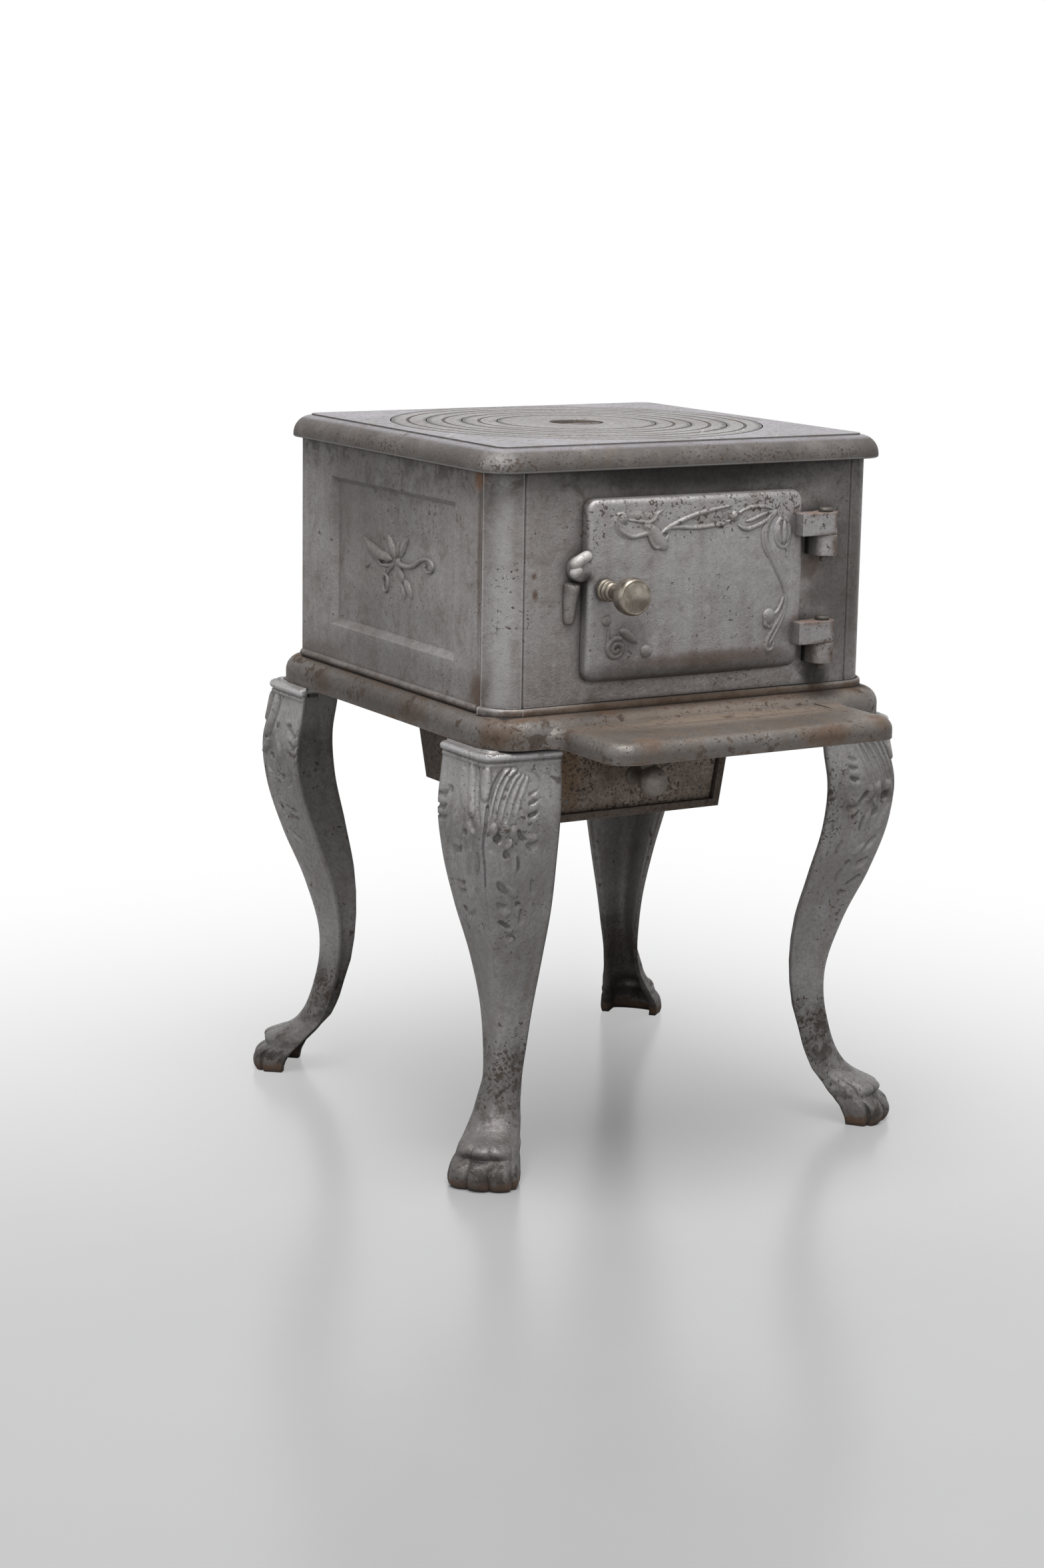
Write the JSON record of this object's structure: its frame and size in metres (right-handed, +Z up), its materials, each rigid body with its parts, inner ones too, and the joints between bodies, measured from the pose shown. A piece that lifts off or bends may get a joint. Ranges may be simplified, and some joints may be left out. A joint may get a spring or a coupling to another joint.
{
  "type": "wood cookstove",
  "caption": "Small cast-iron wood cookstove on cabriole legs with paw feet: hinged fire door, hearth shelf, ash drawer, ring top and rear flue collar.",
  "frame": {"origin": "centre of the overall box, on the floor under the stove", "axes": "+Z up, -Y out of the fire door, +X to the right of someone facing the door"},
  "size_m": [0.4042, 0.471, 0.556],
  "materials": {
    "grey_iron": "worn silver-grey stove paint over cast iron, speckled with rust",
    "top_iron": "rubbed grey iron, scratched and faintly brown",
    "rusty_iron": "rough rusted cast iron",
    "dark_steel": "dull dark steel",
    "plated_brass": "worn nickel plate over brass"
  },
  "bodies": {
    "stove": {"hearth_plate": "grey_iron", "leg_front_left": "grey_iron", "leg_front_right": "grey_iron", "leg_rear_left": "grey_iron", "leg_rear_right": "grey_iron", "front_panel": "grey_iron", "left_panel": "grey_iron", "right_panel": "grey_iron", "rear_panel": "grey_iron", "latch_keeper": "grey_iron", "flue_collar": "grey_iron", "top_plate": "top_iron", "ash_trough": "rusty_iron", "fire_grate": "rusty_iron", "hinge_pins": "rusty_iron", "leg_bolts": "dark_steel", "tie_rods": "dark_steel", "tie_rod_nuts": "dark_steel", "trough_bolts": "dark_steel", "flue_bolts": "dark_steel", "flue_nuts": "dark_steel"},
    "door": {"fire_door": "grey_iron", "door_liner": "dark_steel", "liner_screws": "dark_steel", "door_knob": "plated_brass", "knob_collar": "plated_brass", "knob_stud": "dark_steel"},
    "drawer": {"ash_drawer": "dark_steel", "drawer_front": "rusty_iron", "drawer_rivets": "rusty_iron", "drawer_knob": "rusty_iron", "drawer_knob_stud": "dark_steel"},
    "outer_ring": {"outer_ring": "top_iron"},
    "middle_ring": {"middle_ring": "top_iron"},
    "inner_ring": {"inner_ring": "top_iron"},
    "centre_lid": {"centre_lid": "top_iron", "lid_lift_bar": "dark_steel"}
  },
  "joints": [
    {"name": "door_swing", "type": "hinge", "parent": "stove", "child": "door", "pos_m": [0.114, -0.14654, 0.448], "axis": [0, 0, 1], "range_deg": [0, 170]},
    {"name": "ash_drawer_slide", "type": "slide", "parent": "stove", "child": "drawer", "axis": [0, -1, 0], "range_m": [0, 0.17]},
    {"name": "outer_ring_lift", "type": "slide", "parent": "stove", "child": "outer_ring", "axis": [0, 0, 1], "range_m": [0, 0.06]},
    {"name": "middle_ring_lift", "type": "slide", "parent": "outer_ring", "child": "middle_ring", "axis": [0, 0, 1], "range_m": [0, 0.06]},
    {"name": "inner_ring_lift", "type": "slide", "parent": "middle_ring", "child": "inner_ring", "axis": [0, 0, 1], "range_m": [0, 0.06]},
    {"name": "centre_lid_lift", "type": "slide", "parent": "inner_ring", "child": "centre_lid", "axis": [0, 0, 1], "range_m": [0, 0.06]}
  ]
}
